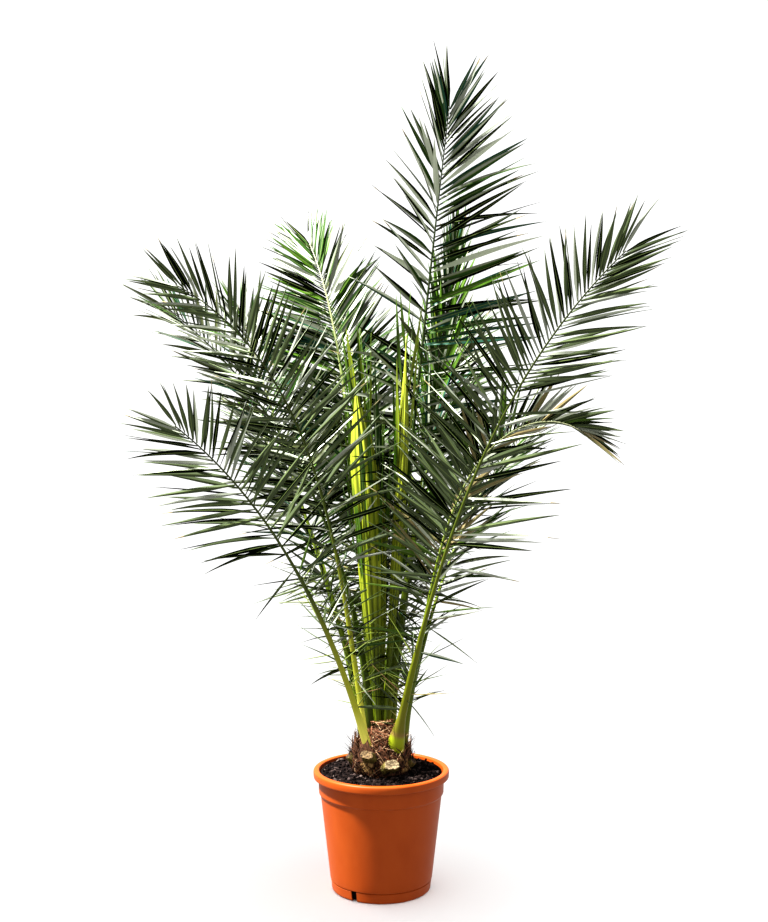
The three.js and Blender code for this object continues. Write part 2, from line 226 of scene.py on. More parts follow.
def loft(name, rings, materials, slots=0, end_slots=0, sharp=(), length_share=None):
    """Closed skins through rings[body, section, corner], anticlockwise seen from the far end, with one face at
    each end and sharp lengthwise edges at the corners in sharp. The UV map holds the shares round the section
    and along the body."""
    bodies, sections, corners = rings.shape[:3]
    place = np.arange(bodies * sections * corners).reshape(bodies, sections, corners)
    beside = np.roll(place, -1, axis=2)
    quads = np.stack([place[:, :-1], beside[:, :-1], beside[:, 1:], place[:, 1:]], -1)
    ends = np.concatenate([place[:, 0, ::-1], place[:, -1]])
    loops = np.concatenate([quads.ravel(), ends.ravel()])
    faces = quads.size // 4
    starts = np.concatenate([np.arange(faces) * 4, faces * 4 + np.arange(len(ends)) * corners])
    quad_slots = np.broadcast_to(slots, (bodies, sections - 1, corners))
    face_slots = np.concatenate([quad_slots.ravel(), np.broadcast_to(end_slots, (2, bodies)).ravel()])

    mesh = bpy.data.meshes.new(name)
    mesh.vertices.add(place.size)
    mesh.vertices.foreach_set("co", rings.astype(np.float32).ravel())
    mesh.loops.add(len(loops))
    mesh.loops.foreach_set("vertex_index", loops.astype(np.int32))
    mesh.polygons.add(len(starts))
    mesh.polygons.foreach_set("loop_start", starts.astype(np.int32))
    mesh.update(calc_edges=True)
    mesh.polygons.foreach_set("material_index", face_slots.astype(np.int32))
    mesh.polygons.foreach_set("use_smooth", np.ones(len(starts), bool))

    v = np.linspace(0, 1, sections) if length_share is None else length_share
    u = np.arange(corners + 1) / corners
    v0, u0 = np.meshgrid(v[:-1], u[:-1], indexing="ij")
    v1, u1 = np.meshgrid(v[1:], u[1:], indexing="ij")
    quad_uv = np.stack([u0, v0, u1, v0, u1, v1, u0, v1], -1)
    end_uv = np.zeros((2, bodies, corners, 2))
    end_uv[..., 0] = u[:-1]
    end_uv[1, ..., 1] = 1
    uv = np.concatenate([np.broadcast_to(quad_uv, (bodies, *quad_uv.shape)).ravel(), end_uv.ravel()])
    mesh.uv_layers.new(name="skin").data.foreach_set("uv", uv.astype(np.float32))

    pairs = np.empty(2 * len(mesh.edges), np.int32)
    mesh.edges.foreach_get("vertices", pairs)
    one, two = pairs.reshape(-1, 2).T % corners
    lengthwise = (one == two) & np.isin(one, sharp)
    mesh.attributes.new("sharp_edge", "BOOLEAN", "EDGE").data.foreach_set("value", lengthwise)

    for material in materials:
        mesh.materials.append(material)
    return put(name, mesh)


def toned(name, rings, looks, tones, **more):
    """A loft in which each body has one look of the list all over."""
    return loft(name, rings, looks, tones[:, None, None], tones, **more)


def bowed(root, heading, bend, length, sections):
    """Centre lines that leave root along heading and bend by the square of the way along."""
    s = np.linspace(0, 1, sections)[:, None]
    return root[:, None] + length[:, None, None] * (heading[:, None] * s + bend[:, None] * s**2)


def tubes(centre, one, two, corners, radius):
    """Rings round centre lines, in the plane of one and two: all [body, section, axis]."""
    corner = round_angles(corners)[:, None]
    circle = one[:, :, None] * np.cos(corner) + two[:, :, None] * np.sin(corner)
    return centre[:, :, None] + circle * radius[..., None, None]


def square_to(heading):
    """Two directions square to each heading and to each other; none of the headings is near [0.3, 0.2, 1]."""
    one = unit(np.cross(heading, [0.3, 0.2, 1]))
    return one, np.cross(heading, one)


def stand_for(piece, slot, *nodes):
    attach(piece, BODY)
    if nodes:
        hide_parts(*nodes)


def turned(profile, sides, wobble=None):
    """A lathe's rings: each (radius, height) of the profile swept round Z, as one body."""
    radius, height = np.asarray(profile, float).T[:, :, None]
    rings = polar(radius, round_angles(sides), height)
    return (rings if wobble is None else wobble(rings))[None]


# ---- materials
def fill(tree, node, inputs):
    """Link each input that is given as a socket and set any other. A key is the input's name, with _ for a
    space, or i and its number."""
    for key, value in inputs.items():
        numbered = key[0] == "i" and key[1:].isdigit()
        socket = node.inputs[int(key[1:]) if numbered else key.replace("_", " ")]
        if isinstance(value, bpy.types.NodeSocket):
            tree.links.new(value, socket)
        else:
            socket.default_value = value
    return node


def add_node(tree, kind, **inputs):
    return fill(tree, tree.nodes.new("ShaderNode" + kind), inputs)


def shade(material, **inputs):
    """Link or set inputs of the material's surface shader."""
    fill(material.node_tree, material.node_tree.nodes["Principled BSDF"], inputs)


def plain(name, colour, roughness, gloss=0.1):
    """An even colour with its own gloss, for shapes of a few faces."""
    material = bpy.data.materials.new(name)
    material.use_nodes = True
    shade(material, Base_Color=(*colour, 1), Roughness=roughness, Specular_IOR_Level=gloss)
    return material


def grained(name, dark, light, roughness, size, bump, depth, stretch=(1, 1, 1), contrast=(0.35, 0.65),
            spread=0.08, gloss=0.1):
    """Noise of that size between two colours, which also drives the bump and spreads the roughness."""
    material = plain(name, light, roughness, gloss)
    tree = material.node_tree
    place = add_node(tree, "TexCoord").outputs["Object"]
    place = add_node(tree, "Mapping", Vector=place, Scale=stretch).outputs[0]
    grain = add_node(tree, "TexNoise", Vector=place, Scale=1 / size, Detail=4).outputs["Fac"]
    ramp = add_node(tree, "ValToRGB", Fac=grain)
    for stop, position, colour in zip(ramp.color_ramp.elements, contrast, (dark, light)):
        stop.position = position
        stop.color = (*colour, 1)
    least, most = roughness - spread, roughness + spread
    rough = add_node(tree, "MapRange", Value=grain, To_Min=least, To_Max=most)
    relief = add_node(tree, "Bump", Height=grain, Strength=bump, Distance=depth)
    shade(material, Base_Color=ramp.outputs["Color"], Roughness=rough.outputs[0], Normal=relief.outputs[0])
    return material


# Looks of the leaflets: base colour, roughness and gloss.
LEAF_LOOKS = {
    # deep is a dark leaf green made near-black: dealt at random, it is partly the leaflets' own colour and
    # partly painted shade, that of the crown's dark inside.
    "deep": ((0.0014, 0.0027, 0.0008), 0.4, 0),
    "green": ((0.019, 0.045, 0.009), 0.36, 0.02),
    "olive": ((0.049, 0.055, 0.025), 0.36, 0.02),
    "teal": ((0.015, 0.048, 0.031), 0.36, 0.02),
    "fresh": ((0.034, 0.08, 0.004), 0.36, 0.08),
    "yellow": ((0.14, 0.18, 0.012), 0.4, 0.08),
    "dry": ((0.15, 0.12, 0.055), 0.6, 0.08),
    # The next two looks are painted highlights: pale colours in place of light glancing off glossy leaflets.
    "sheen": ((0.155, 0.168, 0.128), 0.3, 0.3),
    "glare": ((0.4, 0.43, 0.33), 0.3, 0.35),
    "under": ((0.045, 0.058, 0.028), 0.42, 0.02),
    "under_fresh": ((0.045, 0.085, 0.008), 0.42, 0.1),
    "crease": ((0.085, 0.11, 0.035), 0.4, 0.1),
}
LEAF_MATERIALS = [plain("leaf_" + tone, *look) for tone, look in LEAF_LOOKS.items()]
LEAF_SLOT = {tone: slot for slot, tone in enumerate(LEAF_LOOKS)}

# The first seven looks are the tones that a leaflet can have, and each mix is the share of each.
TONES = 7
MIXES = {
    "olive": (0.22, 0.2, 0.45, 0.11, 0.01, 0.01, 0),
    "dark": (0.28, 0.18, 0.35, 0.18, 0.01, 0, 0),
    "aged": (0.16, 0.08, 0.34, 0.02, 0.04, 0.1, 0.26),
    "shade": (0.26, 0.42, 0.15, 0.14, 0.03, 0, 0),
    "fresh": (0.28, 0.46, 0.06, 0.12, 0.08, 0, 0),
    "tall": (0.42, 0.36, 0.01, 0.16, 0.05, 0, 0),
    "young": (0.03, 0.3, 0.02, 0.1, 0.46, 0.09, 0),
    "low": (0.26, 0.3, 0.28, 0.06, 0.08, 0.01, 0.01),
}

# ---- leaflets
LEAFLET_SECTIONS = 9
LEAFLET_CORNERS = 6
# A leaflet's outline: its foot's width as a share of the full one, where it is full, where its taper would
# end and with what power, what brings its widest place to full width, and where it runs to a point.
LEAFLET_FOOT, LEAFLET_FULL, TAPER_END, TAPER_POWER, WIDEST, POINT_FROM = 0.34, 0.3, 1.25, 1.15, 0.9, 0.86
CREASE_SHARE = 0.12  # half width of the crease as a share of the leaflet's
EDGE_THICKNESS, MIDDLE_THICKNESS = 0.0004, 0.0005  # half thickness everywhere, and what the outline adds
UNFOLDING = 0.35  # how much of the V has gone by the middle of a leaflet


def leaflet_share(u):
    """Length of the leaflets along the blade, as a share of the longest."""
    return mix(0.6, 1, ease(u, 0, 0.28)) * (1 - 0.45 * u**3)


def leaflet_rings(root, heading, across, length, width, vee, sag, curl, twist):
    """Rings of leaflets. The centre line runs from root along heading and bends by sag s^2 downwards and by
    curl s^2 sideways. The section is a thin V: two halves raised by the angle vee from a narrow crease."""
    s = np.linspace(0, 1, LEAFLET_SECTIONS)[None, :, None]
    down = heading * heading[:, 2:] - UPWARDS
    bend = down * sag[:, None] + across * curl[:, None]
    centre = bowed(root, heading, bend, length, LEAFLET_SECTIONS)
    tangent = unit(heading[:, None] + 2 * bend[:, None] * s)
    wide = across[:, None] - tangent * np.sum(across[:, None] * tangent, -1, keepdims=True)
    wide = turn_about(unit(wide), tangent, twist[:, None] * s[..., 0])
    face = np.cross(tangent, wide)
    outline = mix(LEAFLET_FOOT, 1, ease(s, 0, LEAFLET_FULL))
    outline = outline * (1 - ease(s, LEAFLET_FULL, TAPER_END)) ** TAPER_POWER
    outline = outline / WIDEST * (1 - 0.9 * ease(s, POINT_FROM, 1))
    half = width[:, None, None] / 2 * outline
    angle = vee[:, None, None] * (1 - UNFOLDING * ease(s, 0, 0.5))
    out, lift = wide * (half * np.cos(angle)), face * (half * np.sin(angle))
    crease, thick = wide * (half * CREASE_SHARE), face * (EDGE_THICKNESS + MIDDLE_THICKNESS * outline)
    offsets = (out + lift, crease + thick, thick - crease, lift - out, -crease - thick, crease - thick)
    return np.stack([centre + offset for offset in offsets], 2)


# Painted highlights, pale colours in place of light glancing off the leaflets: from and below which draw, the
# first and last face that gets one, and the look. Faces 0 and 2 of a section are the upper halves, 3 and 5 the
# lower ones, and 1 and 4 the creases.
PAINTED_SHEENS = (
    (0, 0.16, 2, 2, "sheen"),
    (0.16, 0.32, 0, 0, "sheen"),
    (0.32, 0.43, 0, 2, "sheen"),
    (0.43, 0.56, 2, 2, "glare"),
    (0.56, 0.69, 0, 0, "glare"),
    (0.69, 0.76, 0, 2, "glare"),
    (0.76, 0.86, 3, 5, "sheen"),
    (0.86, 0.93, 3, 3, "glare"),
    (0.93, 1, 5, 5, "glare"),
)


def leaflet_slots(tones, dry_tips, sheen):
    """Slot of each face: lower halves in an underside tone, creases pale and the last faces of some leaflets
    dry. The draws in the last argument say which leaflets get painted highlights."""
    slots = np.empty((len(tones), LEAFLET_SECTIONS - 1, LEAFLET_CORNERS), int)
    light = np.isin(tones, [LEAF_SLOT["fresh"], LEAF_SLOT["yellow"]])
    # Deep and dry leaflets keep their tone underneath; for deep ones that near-black is partly painted shade.
    even = np.isin(tones, [LEAF_SLOT["deep"], LEAF_SLOT["dry"]])
    under = np.where(light, LEAF_SLOT["under_fresh"], LEAF_SLOT["under"])
    slots[:] = tones[:, None, None]
    slots[:, :, 3:] = np.where(even, tones, under)[:, None, None]
    slots[:, :, [1, 4]] = LEAF_SLOT["crease"]
    for low, high, first, last, tone in PAINTED_SHEENS:
        slots[(sheen >= low) & (sheen < high) & ~light, :, first : last + 1] = LEAF_SLOT[tone]
    slots[dry_tips, -1] = LEAF_SLOT["dry"]
    return slots


def leaf_loft(name, rings, slots):
    """Leaflets as one piece, sharp along their creases and edges."""
    return loft(name, rings, LEAF_MATERIALS, slots, LEAF_SLOT["crease"], sharp=range(LEAFLET_CORNERS))


PAIRING = 0.26  # how far the leaflets of a rank are drawn together in pairs, as a share of their spacing
LOWEST = 0.4  # the share of the blade over which the leaflets are loose and few
FOOT_SPLAY, CLOSING = 0.25, 0.74  # how much the splay is wider at the blade's foot and narrower at its tip
SPLAY_SCATTER, FOLD_SCATTER, PAIR_FOLD = 9, 21, 9  # degrees
FACE_TURN, FACE_SCATTER = 16, 32  # turn of a leaflet's face about its line, in degrees
RIB_HALF = 0.0022  # how far the leaflets' feet are off the rib's centre line
OWN_TONE, DRY_TIPS = 0.45, 0.1  # shares of leaflets with a tone that isn't their pair's, and with a dry tip
VEES = (18, 38)  # degrees that the halves of leaflets are raised by


def unworn(frond, hand, rng):
    """Which of the spines or low leaflets on those hands of the stalk are still there."""
    outer, lost = frond["worn"]
    return rng.random(len(hand)) >= lost * (hand == outer)


def frond_leaflets(frond, seed):
    """Two ranks of leaflets: in pairs and scattered low on the rib, evenly and closer to it near its tip."""
    rng = np.random.default_rng(seed)
    count = int(round((1 - frond["bare"]) * frond["length"] / frond["spacing"]))
    both = 2 * count
    hand = np.tile([1.0, -1.0], count)
    rank = np.repeat(np.arange(count), 2)
    pair = np.where((rank + (hand > 0)) % 2 == 0, 1.0, -1.0)
    place = rank + np.tile([0.0, 0.45], count)
    uneven = 1 - place / (count - 0.5)
    u = np.clip((place + (PAIRING * pair + rng.uniform(-0.18, 0.18, both)) * uneven) / (count - 0.5), 0, 1)
    low = 1 - ease(u, 0, LOWEST)
    loose = 0.25 + 0.55 * (1 - u) + 0.8 * low
    t = mix(frond["bare"], 1, u)
    along, up, side = frame_at(frond, t)
    splay = frond["splay"] * (1 + FOOT_SPLAY * low) + np.where(hand > 0, *frond["skew"])
    splay = np.radians(splay * (1 - CLOSING * u**4) + rng.normal(0, SPLAY_SCATTER, both) * loose)
    fold = np.radians(frond["fold"] + (PAIR_FOLD * pair + rng.normal(0, FOLD_SCATTER, both)) * loose)
    heading = set_off(along, up, side, hand, splay, fold)
    length = frond["reach"] * leaflet_share(u) * rng.uniform(0.82, 1.04, both)
    length = length * np.where(hand > 0, 1, frond["shorter"] ** (1 - 0.6 * ease(u, 0.8, 0.98)))
    across = along * hand[:, None]
    across = unit(across - heading * np.sum(across * heading, -1, keepdims=True))
    across = turn_about(across, heading, hand * np.radians(rng.normal(FACE_TURN, FACE_SCATTER, both)))
    width = frond["width"] * (0.72 + 0.28 * leaflet_share(u)) * rng.uniform(0.78, 1.14, both)
    width = width * mix(0.5, 1, ease(u, 0, 0.28))
    vee = np.radians(rng.uniform(*VEES, both))
    sag = rng.uniform(0, 0.1, both) + 0.07 * rng.random(both) * low
    curl, twist = rng.normal(0, 0.05, both), np.radians(rng.normal(0, 24, both))
    root = rib_at(frond, t) + side * (hand * RIB_HALF)[:, None]
    rings = leaflet_rings(root, heading, across, length, width, vee, sag, curl, twist)

    shares = MIXES[frond["tones"]]
    runs = np.repeat(np.arange(count + 1), 2)[:both]
    tones = rng.choice(TONES, size=count + 1, p=shares)[runs]
    own = rng.random(both) < OWN_TONE
    tones = np.where(own, rng.choice(TONES, size=both, p=shares), tones)
    # Draws, scaled by the frond's rarity, that say which leaflets get painted highlights.
    slots = leaflet_slots(tones, rng.random(both) < DRY_TIPS, rng.random(both) * frond["painted_highlight_rarity"])
    first, last, rank_hand, lost = frond["gap"]
    gap = lost * ((u > first) & (u < last) & (hand == rank_hand))
    kept = rng.random(both) > np.maximum(frond["sparse"] * low, gap)
    return rings[kept], slots[kept]


LOW_COUNT = 15
LOW_REACH = (0.4, 1.08)  # where low leaflets stand, as shares of the stalk
LOW_PAINTED_HIGHLIGHT_RARITY = 1.9  # how seldom low leaflets get painted highlights


def low_leaflets(frond, seed):
    """Narrow stray leaflets between the spines and the blade, which point all ways."""
    rng = np.random.default_rng(seed)
    count = LOW_COUNT
    share = rng.uniform(*LOW_REACH, count)
    t = frond["bare"] * share
    hand = rng.choice([-1.0, 1.0], count)
    splay, fold = np.radians(rng.uniform(50, 104, count)), np.radians(rng.normal(18, 38, count))
    heading = set_off(*frame_at(frond, t), hand, splay, fold)
    across = unit(np.cross(heading, rng.normal(0, 1, (count, 3))))
    length = mix(0.085, 0.185, share / LOW_REACH[1]) * rng.uniform(0.6, 1.1, count)
    width = rng.uniform(0.005, 0.0095, count)
    vee = np.radians(rng.uniform(*VEES, count))
    sag, curl = rng.uniform(-0.02, 0.16, count), rng.normal(0, 0.05, count)
    twist = np.radians(rng.normal(0, 20, count))
    rings = leaflet_rings(rib_at(frond, t), heading, across, length, width, vee, sag, curl, twist)
    tones = rng.choice(TONES, size=count, p=MIXES["low"])
    slots = leaflet_slots(tones, np.zeros(count, bool), rng.random(count) * LOW_PAINTED_HIGHLIGHT_RARITY)
    kept = unworn(frond, hand, rng)
    return rings[kept], slots[kept]


# ---- stalks and ribs
RIB_SECTIONS = 64
RIB_CORNERS = 16
SHEATH = 0.1  # share of the rib along which the stalk narrows to its neck, where a quarter is bare
CROWDING = 1.3  # how the stalk's sections are drawn together near the trunk
RIB_FOOT, RIB_TIP = 0.72, 0.0024  # width of the rib at its foot as a share of the stalk's, and at its tip


def stalk_material(name, foot, low, high, tip, marks=()):
    """Colour by share of the length: foot, marks, low stalk, high rib and tip, streaked lengthwise."""
    material = plain(name, low, 0.42, 0.12)
    tree = material.node_tree
    skin = add_node(tree, "TexCoord").outputs["UV"]
    split = add_node(tree, "SeparateXYZ", Vector=skin)
    ramp = add_node(tree, "ValToRGB", Fac=split.outputs["Y"])
    elements = ramp.color_ramp.elements
    for place, colour in ((0, foot), *marks, (0.14, low), (0.45, high), (1, tip)):
        stop = elements[0] if place == 0 else elements[-1] if place == 1 else elements.new(place)
        stop.position = place
        stop.color = (*colour, 1)
    place = add_node(tree, "Mapping", Vector=skin, Scale=(18, 3, 1)).outputs[0]
    streaks = add_node(tree, "TexNoise", Vector=place, Scale=1, Detail=5).outputs["Fac"]
    tone = add_node(tree, "MapRange", Value=streaks, To_Min=0.62, To_Max=1.35)
    tinted = add_node(tree, "VectorMath", i0=ramp.outputs["Color"], i1=tone.outputs[0])
    tinted.operation = "MULTIPLY"
    relief = add_node(tree, "Bump", Height=streaks, Strength=0.25, Distance=0.001)
    shade(material, Base_Color=tinted.outputs[0], Normal=relief.outputs[0])
    return material


BRIGHT = (0.055, (0.6, 0.58, 0.11))
COLLAR = (0.04, (0.195, 0.235, 0.008)), (0.046, (0.16, 0.105, 0.03)), (0.054, (0.11, 0.105, 0.01))
# In the straw, yellow and dark looks the colour darkens up the rib, and the dark look's foot is dark too:
# partly the ribs' own dark green and partly painted shade of the crown, which the stalks' lamp leaves out.
STALK_COLOURS = {
    "straw": [(0.62, 0.57, 0.12), (0.28, 0.29, 0.022), (0.04, 0.055, 0.006), (0.02, 0.027, 0.008), [BRIGHT]],
    "yellow": [(0.17, 0.21, 0.008), (0.105, 0.12, 0.004), (0.045, 0.06, 0.006), (0.02, 0.027, 0.008), COLLAR],
    "green": [(0.12, 0.14, 0.004), (0.06, 0.085, 0.004), (0.085, 0.12, 0.008), (0.15, 0.15, 0.09)],
    "dark": [(0.035, 0.045, 0.003), (0.045, 0.07, 0.004), (0.022, 0.036, 0.006), (0.007, 0.01, 0.004)],
}
STALKS = {name: stalk_material("stalk_" + name, *colours) for name, colours in STALK_COLOURS.items()}


def stalk_width(frond, t):
    """Width of stalk and rib: a sheath narrows to the stalk, and the rib fines out to its tip."""
    bare = frond["bare"]
    foot, neck, end = frond["widths"]
    share = np.clip(t / bare, 0, 1) ** (1 / CROWDING)
    stalk = mix(mix(neck, end, share), foot, 1 - ease(t, 0, SHEATH * bare / 0.25))
    stalk = stalk * mix(0.6, 1, ease(t, 0, 0.014))
    rib = mix(end * RIB_FOOT, RIB_TIP, np.clip((t - bare) / (1 - bare), 0, 1) ** 0.8)
    return mix(stalk, rib, ease(t, bare * 0.75, bare + 0.12))


def frond_rib(frond):
    """Stalk and rib as one bent limb. Its section is oval, keeled below and grooved above along the stalk."""
    t = np.linspace(0, 1, RIB_SECTIONS) ** 1.15
    _, up, side = (v[:, None] for v in frame_at(frond, t))
    half = stalk_width(frond, t)[:, None] / 2
    angle = round_angles(RIB_CORNERS)
    flat = mix(0.62, 0.85, ease(t, 0.1, 0.6))[:, None]
    groove = 0.3 * np.exp(-(((angle - np.pi / 2) / 0.45) ** 2)) * (1 - ease(t, frond["bare"], 0.8))[:, None]
    across, rise = np.cos(angle), np.sin(angle) * flat * (1 - groove)
    rise = np.where(np.sin(angle) < 0, rise * 1.15, rise)
    rings = rib_at(frond, t)[:, None] - side * (half * across)[..., None] + up * (half * rise)[..., None]
    return rings[None], t


SPINE_LOOKS = [
    plain("spine_green", (0.1, 0.125, 0.022), 0.45),
    plain("spine_straw", (0.3, 0.25, 0.11), 0.5),
    plain("spine_brown", (0.11, 0.065, 0.03), 0.55),
    plain("spine_leafy", (0.036, 0.052, 0.014), 0.45),
]
# The share of each look among the low and the high spines, and where the high ones begin.
LOW_SPINES, HIGH_SPINES, HIGH_FROM = (0.64, 0.1, 0.06, 0.2), (0.31, 0.03, 0.01, 0.65), 0.6
SPINE_SPACING, SPINE_RADIUS = 0.026, 0.0014


def spines(frond, seed):
    """Stiff spines up both sides of the stalk, which cross and are longer and broader towards the blade."""
    rng = np.random.default_rng(seed)
    count = int(round(frond["bare"] * frond["length"] / SPINE_SPACING))
    both = 2 * count
    hand = np.tile([1.0, -1.0], count)
    share = np.sort(rng.uniform(0.28, 1.05, both))
    t = share * frond["bare"]
    along, up, side = frame_at(frond, t)
    splay, fold = np.radians(rng.uniform(48, 84, both)), np.radians(rng.normal(22, 30, both))
    heading = set_off(along, up, side, hand, splay, fold)
    length = mix(0.045, 0.15, share) * rng.uniform(0.55, 1.15, both)
    root = rib_at(frond, t) + side * (hand * stalk_width(frond, t) * 0.4)[:, None]
    bend = np.cross(heading, rng.normal(0, 1, (both, 3))) * 0.06
    one, two = square_to(heading)
    broad = mix(1, 2.2, ease(share, 0.55, 1))[:, None]
    centre = bowed(root, heading, bend, length, 6)
    s = np.linspace(0, 1, 6)
    taper = (0.7 + 0.3 * np.sin(np.pi * s)) * (1 - 0.93 * s**2)
    radius = SPINE_RADIUS * taper * (length / 0.1)[:, None] ** 0.3
    rings = tubes(centre, (one * broad)[:, None], two[:, None], 4, radius)
    high, low = (rng.choice(4, both, p=shares) for shares in (HIGH_SPINES, LOW_SPINES))
    kept = unworn(frond, hand, rng)
    return rings[kept], np.where(share > HIGH_FROM, high, low)[kept]


thorns = []
for number, frond in enumerate(FRONDS):
    name = frond["name"]
    leaflets = frond_leaflets(frond, 100 + number), low_leaflets(frond, 200 + number)
    rings, slots = map(np.concatenate, zip(*leaflets))
    blade_nodes = [f"frond_{name}_blade"] + ([f"frond_{name}_tip"] if frond["bow"] > SPLIT_BOW else [])
    stand_for(leaf_loft(f"leaflets_{name}", rings, slots), "blade", *blade_nodes)
    rings, share = frond_rib(frond)
    rib = loft(f"rib_{name}", rings, [STALKS[frond["stalk"]]], length_share=share)
    stand_for(rib, "stalk", f"frond_{name}_stalk")
    thorns.append(spines(frond, 300 + number))
rings, tones = map(np.concatenate, zip(*thorns))
stand_for(toned("stalk_spines", rings, SPINE_LOOKS, tones), "stalk")

# ---- spears
SPEAR_COLOURS = {
    "ridge": [(0.11, 0.145, 0.004), (0.055, 0.08, 0.004), (0.21, 0.24, 0.014), (0.26, 0.29, 0.03)],
    # The second look, for the faces in the folds of the pleats, is darker as painted shade.
    "valley": [(0.05, 0.07, 0.003), (0.018, 0.028, 0.002), (0.115, 0.14, 0.008), (0.15, 0.18, 0.02)],
}
SPEAR_LOOKS = [stalk_material("spear_" + name, *colours) for name, colours in SPEAR_COLOURS.items()]
SPEAR_SECTIONS = 46
PLEATS, PLEAT_DEPTH = 11, 0.16
SPRIGS = 600  # leaflets on a spear for each metre of its girth
SPRIG_TONES = ("fresh", "yellow", "green")


def spear_swell(t):
    """Width along a spear as a share of its girth: it swells to the middle and runs out to a point."""
    return mix(0.4, 1.2, ease(t, 0.05, 0.5)) * mix(1, 0.07, ease(t, 0.72, 1))


def spear_rings(spear):
    """A furled leaf: a slim spindle whose section is pleated, and the look of each of its faces."""
    corners = PLEATS * 6
    t = np.linspace(0, 1, SPEAR_SECTIONS)
    _, up, side = (v[:, None] for v in frame_at(spear, t))
    angle = round_angles(corners)
    pleat = 1 - PLEAT_DEPTH * (1 - np.abs(np.cos(angle * PLEATS / 2))) * ease(t, 0.05, 0.3)[:, None]
    reach = (spear["girth"] / 2 * spear_swell(t)[:, None] * pleat)[..., None]
    section = side * np.cos(angle)[:, None] - up * np.sin(angle)[:, None] * 0.8
    rings = rib_at(spear, t)[:, None] - reach * section
    # Faces in the folds of the pleats, which take the darker look of painted shade.
    valley = np.abs(np.cos((np.arange(corners) + 0.5) / corners * TAU * PLEATS / 2)) < 0.5
    return rings[None], np.broadcast_to(valley.astype(int), (1, SPEAR_SECTIONS - 1, corners))


def spear_leaflets(spear, seed):
    """Leaflets that begin to part from a spear: long, narrow and close to its line."""
    rng = np.random.default_rng(seed)
    count = int(spear["girth"] * SPRIGS)
    t = rng.uniform(0.3, 0.97, count)
    along, up, side = frame_at(spear, t)
    turn = rng.uniform(0, TAU, count)
    out = side * np.cos(turn)[:, None] + up * np.sin(turn)[:, None]
    splay = np.radians(rng.uniform(2, 9, count))[:, None]
    heading = unit(along * np.cos(splay) + out * np.sin(splay))
    length = np.minimum(rng.uniform(0.16, 0.27, count), (1.06 - t) * spear["length"] + 0.05)
    root = rib_at(spear, t) + out * (spear["girth"] * 0.42 * spear_swell(t))[:, None]
    across = unit(np.cross(out, heading))
    width, vee = rng.uniform(0.008, 0.013, count), np.radians(rng.uniform(20, 38, count))
    curl, twist = rng.normal(0, 0.02, count), np.radians(rng.normal(0, 10, count))
    rings = leaflet_rings(root, heading, across, length, width, vee, np.zeros(count), curl, twist)
    tones = rng.choice([LEAF_SLOT[tone] for tone in SPRIG_TONES], count, p=[0.4, 0.4, 0.2])
    return rings, leaflet_slots(tones, np.zeros(count, bool), np.ones(count))


for number, spear in enumerate(SPEARS):
    rings, slots = spear_rings(spear)
    stand_for(loft(spear["name"] + "_column", rings, SPEAR_LOOKS, slots), "spear", spear["name"])
    rings, slots = spear_leaflets(spear, 500 + number)
    stand_for(leaf_loft(spear["name"] + "_leaflets", rings, slots), "blade")


# ---- trunk
def trunk_radius(height):
    return np.interp(height, TRUNK[:, 1], TRUNK[:, 0])


def on_trunk(angle, height, lift):
    """Points over the trunk at that angle, height above the soil and lift off its skin."""
    return polar(trunk_radius(height) + lift, angle, CROWN_Z + height)


def rough_trunk():
    """The trunk's core: its outline turned, with lumps of 26 mm and slantwise ridges of 7 mm."""
    height = np.concatenate([[-0.004], np.linspace(0, TRUNK_TOP, 60)])
    angle, height = np.meshgrid(round_angles(150), height)
    slant = polar(0.07, angle + height * 9, height * 0.3)
    lift = 0.0035 * lumps(on_trunk(angle, height, 0), 0.026, 5) + 0.0022 * lumps(slant, 0.007, 6) - 0.003
    return on_trunk(angle, height, lift)[None]


TRUNK_LOOK = grained("trunk_fibre", (0.003, 0.0015, 0.001), (0.034, 0.015, 0.007), 0.85, 0.004, 0.8, 0.002,
                     (1, 1, 0.35), gloss=0.05)
stand_for(loft("trunk_core", rough_trunk(), [TRUNK_LOOK]), "trunk", "trunk")

STRAND_LOOKS = [
    plain("strand_dark", (0.012, 0.004, 0.001), 0.7, 0.08),
    plain("strand_russet", (0.13, 0.05, 0.024), 0.6, 0.08),
    plain("strand_brown", (0.05, 0.022, 0.008), 0.65, 0.08),
    plain("strand_straw", (0.33, 0.215, 0.12), 0.55, 0.08),
]
STRAND_SHARES, HAIR_SHARES = (0.22, 0.31, 0.28, 0.19), (0.62, 0.12, 0.22, 0.04)
STRAND_COUNT, STRAND_SECTIONS = 2600, 7
DARKENING_HEIGHT = 0.055  # below this the strands get darker


def strands(seed):
    """Loose fibres wound slantwise over the trunk, most lying close, some springing off at their ends."""
    rng = np.random.default_rng(seed)
    count = STRAND_COUNT
    s = np.linspace(0, 1, STRAND_SECTIONS)[None]
    length = rng.uniform(0.025, 0.085, count)[:, None]
    slope = np.radians(rng.choice([-1, 1], count) * rng.normal(38, 16, count))[:, None]
    height = rng.uniform(0, 0.104, count)[:, None] + length * np.cos(slope) * (s - 0.3)
    wave = 0.004 * np.sin(s * rng.uniform(2, 9, (count, 1)) + rng.uniform(0, TAU, (count, 1)))
    radius = trunk_radius(np.clip(height, 0, TRUNK_TOP))
    angle = rng.uniform(0, TAU, count)[:, None] + (length * np.sin(slope) * s + wave) / radius
    spring = rng.choice([0, 0, 0, 1], count)[:, None] * rng.uniform(0.002, 0.018, (count, 1))
    lift = rng.uniform(-0.001, 0.0035, count)[:, None] + spring * s**2
    height = np.clip(height, -0.002, 0.12)
    centre = polar(radius + lift, angle, CROWN_Z + height)
    tangent = unit(np.gradient(centre, axis=1))
    one = unit(np.cross(tangent, polar(1, angle, 0)))
    thick = rng.gamma(2.5, 0.00028, count)[:, None] * (1 - 0.7 * s**3) + 0.0002
    tones = rng.choice(4, count, p=STRAND_SHARES)
    darkened = rng.random(count) > height[:, STRAND_SECTIONS // 2] / DARKENING_HEIGHT
    return tubes(centre, one, np.cross(tangent, one), 3, thick), np.where(darkened, 0, tones)


